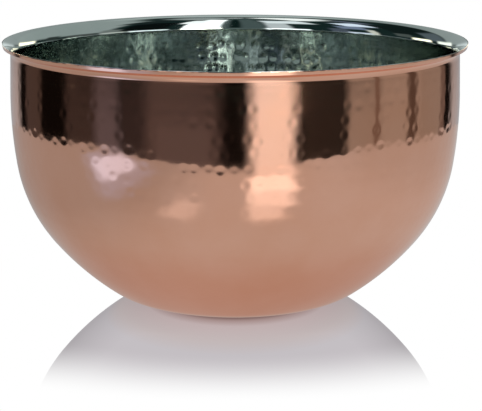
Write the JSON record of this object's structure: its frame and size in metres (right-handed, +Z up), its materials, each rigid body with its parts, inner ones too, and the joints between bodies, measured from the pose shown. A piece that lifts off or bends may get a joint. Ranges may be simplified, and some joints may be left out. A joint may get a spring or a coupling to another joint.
{
  "type": "hammered copper bowl",
  "caption": "Deep round mixing bowl: hammered copper jacket nested over a polished steel liner, with a flared lip and a small flat foot.",
  "frame": {"origin": "centre of the flat foot, on the surface the bowl stands on", "axes": "+Z up along the bowl's axis of symmetry; X and Y are alike, because the shape is round"},
  "size_m": [0.247, 0.247, 0.1424],
  "materials": {
    "hammered_copper": "hammered, polished copper",
    "polished_steel": "bright polished stainless steel"
  },
  "bodies": {
    "root": {"copper_shell": "hammered_copper", "steel_liner": "polished_steel"}
  },
  "joints": []
}
